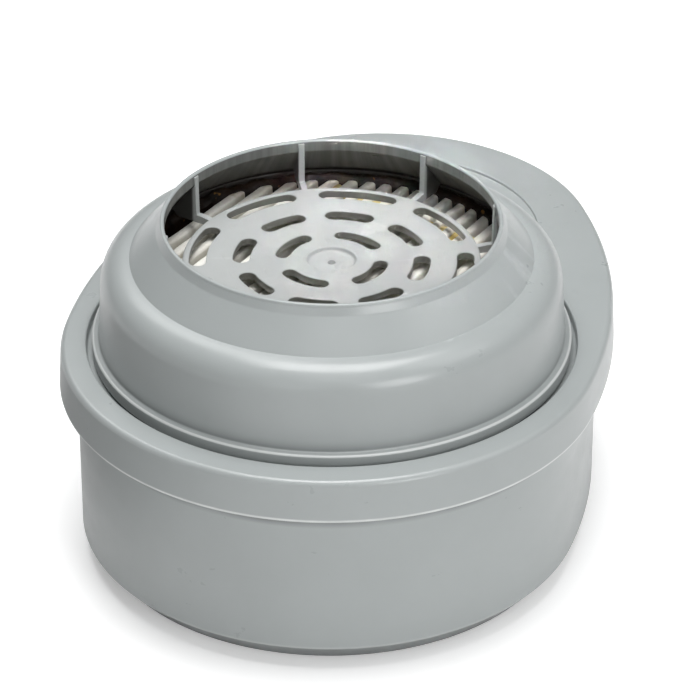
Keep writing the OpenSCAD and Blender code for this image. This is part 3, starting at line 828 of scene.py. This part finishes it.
# dark frame ring, and the lumpy adhesive between it and the pack
FRAME_BOTTOM, FRAME_TOP = bottom("pleat_frame"), top("pleat_frame")
FRAME = rounded([(25.4, FRAME_BOTTOM, 0.15), (30.05, FRAME_BOTTOM, 0.3), (30.05, FRAME_TOP, 0.3),
                 (29.0, FRAME_TOP, 0.3), (29.0, FRAME_BOTTOM + 0.8, 0.1),
                 (25.4, FRAME_BOTTOM + 0.8, 0.15)], closed=True, steps=4)
place(lathe("pleat_frame_ring", FRAME, 192), "canister", FRAME_PLASTIC,
      "pleat_frame")

POT_BOTTOM, POT_TOP = bottom("potting_ring"), top("potting_ring")
POT_IN, POT_OUT = PACK_R + 0.03, 28.97
POT_PROFILE = (  # radius, z; lumpy from the fourth station on
    (POT_IN, POT_BOTTOM), (POT_OUT, POT_BOTTOM), (POT_OUT, POT_TOP - 1.5),
    (POT_OUT, POT_TOP - 0.1), (28.7, POT_TOP - 0.05), (28.4, POT_TOP - 0.2),
    (28.1, POT_TOP - 0.4), (27.8, POT_TOP - 0.7), (27.6, POT_TOP - 1.0), (POT_IN, POT_TOP - 1.2))


def lumpy(station, point):
    if station < 3:
        return point
    spot = point / MM
    lift = 0.38 * noise.noise(spot * 0.6) + 0.24 * noise.noise(spot * 1.7) - 0.12
    return point + Vector((0, 0, MM * lift))


place(lathe("potting_adhesive_ring", POT_PROFILE, 420, sharp=0, wobble=lumpy), "canister",
      POTTING, "potting_ring")

# ================================================================ outlet
SOCKET_BOTTOM = bottom("outlet_socket")
SOCKET_TOP = top("outlet_socket")


def outlet_socket():
    """Stepped ring with three notches cut through its lower inner lip."""
    half = radians(13)                        # half angle of a notch
    edge = 0.0016                             # half angle of the step at a notch's side
    lip_r, notch_r, lip_top = 12.6, 14.2, 2.5
    notches = [radians(120 * k + 90) for k in range(3)]
    angles = [notch + side + step for notch in notches for side in (-half, half)
              for step in (-edge, edge)]
    angles += [2 * pi * i / 192 + 0.004 for i in range(192)]
    angles = sorted(angle % (2 * pi) for angle in angles)

    def notched(angle):
        return any(abs((angle - notch + pi) % (2 * pi) - pi) < half for notch in notches)

    profile = rounded([
        (SOCKET_R, SOCKET_BOTTOM, 0.3), (SOCKET_R, 2.05), (19.6, 2.05, 0.1), (19.6, 3.2, 0.3),
        (SOCKET_R, 3.2, 0.3), (16.4, SOCKET_TOP, 0.3), (9.8, SOCKET_TOP, 0.15), (9.8, 5.5, 0.2),
        (12.6, 5.5), (12.6, 4.7, 0.1), (14.3, 4.7), (14.3, lip_top), (lip_r, lip_top, 0.1),
        (lip_r, SOCKET_BOTTOM, 0.3), (14.9, SOCKET_BOTTOM, 0.1), (14.9, 1.5), (16.5, 1.5),
        (16.5, SOCKET_BOTTOM, 0.1)], closed=True, steps=4)
    loops = []
    for radius, z in profile:
        on_lip = z <= lip_top + 0.01 and lip_r - 0.1 < radius < notch_r
        cut = notch_r + (radius - lip_r) * 0.05 if on_lip else radius
        radii = [cut if notched(angle) else radius for angle in angles]
        loops.append(level([(r * cos(angle), OUTLET_Y + r * sin(angle))
                            for r, angle in zip(radii, angles)], z))
    build = Build()
    build.chain(loops, closed=True)
    return build.done("outlet_socket_ring", sharp=38)


place(outlet_socket(), "canister", GRILLE_PLASTIC, "outlet_socket")
SEAL = rounded([(15.0, 0.1, 0.35), (16.4, 0.1, 0.35), (16.4, 1.45, 0.1), (15.0, 1.45, 0.1)],
               closed=True, steps=5)
place(lathe("outlet_gasket_ring", SEAL, 192, OUTLET_Y), "canister", RUBBER,
      "outlet_gasket")


def add_wire(build, points, radius, sides=6):
    loops = []
    for i, point in enumerate(points):
        along = (points[min(i + 1, len(points) - 1)] - points[max(i - 1, 0)]).normalized()
        side = along.cross(Vector((0, 0, 1))).normalized()
        up = side.cross(along)
        turns = [2 * pi * k / sides for k in range(sides)]
        loops.append([point + side * (radius * cos(turn)) + up * (radius * sin(turn))
                      for turn in turns])
    rows = build.chain(loops)
    build.cap(rows[0])
    build.cap(rows[-1])


def outlet_screen():
    """Plain-weave wires: each set waves over and under the other."""
    gap, middle_z, screen_r, wire_r = 1.0, 6.62, 10.9, 0.085
    build = Build()
    for along_x in (0, 1):
        for i in range(-10, 11):
            offset = i * gap
            half = math.sqrt(screen_r ** 2 - offset ** 2)
            steps = int(half * 2 / (gap / 3))
            wave = (wire_r if along_x else -wire_r) * (1 if i % 2 else -1)
            points = []
            for j in range(steps + 1):
                run = -half + 2 * half * j / steps
                x, y = (run, offset) if along_x else (offset, run)
                z = middle_z + wave * cos(pi * run / gap)
                points.append(Vector((x * MM, (y + OUTLET_Y) * MM, z * MM)))
            add_wire(build, points, wire_r * MM)
    return build.done("outlet_screen_mesh", sharp=0, weighted=False)


place(outlet_screen(), "canister", WHITE_PLASTIC, "outlet_screen")
SCREEN_RIM = rounded([(10.3, 6.43, 0.08), (12.2, 6.43, 0.08), (12.2, 6.81, 0.08),
                      (10.3, 6.81, 0.08)], closed=True, steps=3)
place(lathe("outlet_screen_rim", SCREEN_RIM, 128, OUTLET_Y), "canister", WHITE_PLASTIC,
      "outlet_screen")

# CAD pieces that stay shown
KEPT = {"seam_adhesive": SEAM_GLUE, "filter_gasket": RUBBER, "filter_deck": WHITE_PLASTIC,
        "compression_ring": FOAM, "upper_grid": WHITE_PLASTIC, "upper_scrim": FLEECE,
        "carbon_bed": CARBON, "lower_scrim": FLEECE, "lower_grid": WHITE_PLASTIC,
        "screen_retainer": WHITE_PLASTIC}
for node_name, material in KEPT.items():
    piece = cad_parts[node_name]
    if not piece.data.materials:
        piece.data.materials.append(material)
    for slot in piece.material_slots:
        slot.material = material


# ================================================================ stage
def floor_material():
    """White sweep that glows for the camera only; other rays see a grey patch on the left, painted
    shade standing in for a neighbouring cartridge and its shadow.
    """
    mat = Shader("pale_floor")
    seen = mat.node("LightPath").outputs["Is Camera Ray"]
    x, y, z = mat.xyz()
    # painted shade: a grey patch seen only in reflections, for a neighbouring cartridge and its
    # shadow
    patch = mat.mul(mat.ramp(x, span=(-0.038, -0.060)), mat.ramp(x, span=(-0.180, -0.150)))
    patch = mat.mul(patch, mat.mul(mat.ramp(y, span=(0.045, 0.015)),
                                   mat.ramp(y, span=(-0.150, -0.110))))
    patch = mat.mul(patch, mat.math("SUBTRACT", 1.0, seen))
    white, bright, grey = (0.90, 0.90, 0.90), (0.92, 0.92, 0.92), (0.30, 0.30, 0.30)
    glow = 0.33
    pale = mat.mix(mat.ramp(mat.noise(scale=6, detail=2), span=(0.3, 0.7)), white, bright)
    return mat.surface(Base_Color=mat.mix(patch, pale, grey), Roughness=0.9,
                       Specular_IOR_Level=0.1, Emission_Color=(1.0, 1.0, 1.0),
                       Emission_Strength=mat.mul(seen, glow))


HALF, FLOOR_Z = 4.0, -0.0002                  # metres
floor_mesh = bpy.data.meshes.new("floor")
floor_mesh.from_pydata([(-HALF, -HALF, FLOOR_Z), (HALF, -HALF, FLOOR_Z), (HALF, HALF, FLOOR_Z),
                        (-HALF, HALF, FLOOR_Z)], [], [(0, 1, 2, 3)])
floor = bpy.data.objects.new("floor", floor_mesh)
bpy.context.scene.collection.objects.link(floor)
floor_mesh.materials.append(floor_material())

scene = bpy.context.scene
scene.view_settings.view_transform = "Standard"


def studio_world():
    """Dim, slightly blue surround, brighter towards the back."""
    world = bpy.data.worlds.new("studio")
    scene.world = world
    world.use_nodes = True
    nodes, link = world.node_tree.nodes, world.node_tree.links.new
    nodes.clear()
    output, background, coords, split, ramp = [nodes.new("ShaderNode" + kind) for kind in (
        "OutputWorld", "Background", "TexCoord", "SeparateXYZ", "MapRange")]
    link(coords.outputs["Generated"], split.inputs[0])
    link(split.outputs["Y"], ramp.inputs["Value"])
    for key, value in {"From Min": -0.9, "From Max": 0.5, "To Min": 0.03, "To Max": 0.06}.items():
        ramp.inputs[key].default_value = value
    link(ramp.outputs[0], background.inputs["Strength"])
    background.inputs["Color"].default_value = (0.97, 0.985, 1.0, 1)
    link(background.outputs[0], output.inputs["Surface"])


studio_world()


def area(name, at, size, power, aim=(0, 0.01, 0.025), spread=None):
    """Rectangular light; size is (width, height) in metres, power in watts."""
    light = bpy.data.lights.new(name, "AREA")
    light.shape = "RECTANGLE"
    light.size, light.size_y = size
    light.energy = power
    if spread:
        light.spread = radians(spread)
    lamp = bpy.data.objects.new(name, light)
    scene.collection.objects.link(lamp)
    lamp.location = at
    lamp.rotation_euler = (Vector(aim) - Vector(at)).to_track_quat("-Z", "Y").to_euler()


area("top_soft", at=(0.0, 0.026, 0.77), size=(0.45, 0.45), power=5.2)
area("back_left_soft", at=(-0.31, 0.369, 0.595), size=(0.38, 0.38), power=1.3)
area("right_soft", at=(0.482, 0.0, 0.595), size=(0.38, 0.38), power=0.75)
area("front_right_low", at=(0.504, -0.504, 0.252), size=(0.32, 0.26), power=1.6)
area("front_soft", at=(0.165, -0.453, 0.595), size=(0.38, 0.38), power=0.45)
area("front_low", at=(-0.101, -0.717, 0.214), size=(0.30, 0.24), power=0.35, aim=(0, 0.01, 0.02))
area("opening_snoot", at=(0.056, -0.398, 0.49), size=(0.035, 0.035), power=0.0032,
     aim=(0.003, 0.020, 0.0435), spread=2.5)

CAMERA_AT = Vector((0.12762, -0.51918, 0.34747))
CAMERA_AIM = Vector((0.0, 0.0110, 0.0232))
lens = bpy.data.cameras.new("camera")
camera = bpy.data.objects.new("camera", lens)
scene.collection.objects.link(camera)
camera.location = CAMERA_AT
camera.rotation_mode = "QUATERNION"
camera.rotation_quaternion = (CAMERA_AIM - CAMERA_AT).to_track_quat("-Z", "Y")
lens.sensor_width = 36
lens.lens = 225
lens.clip_start, lens.clip_end = 0.01, 20
scene.camera = camera
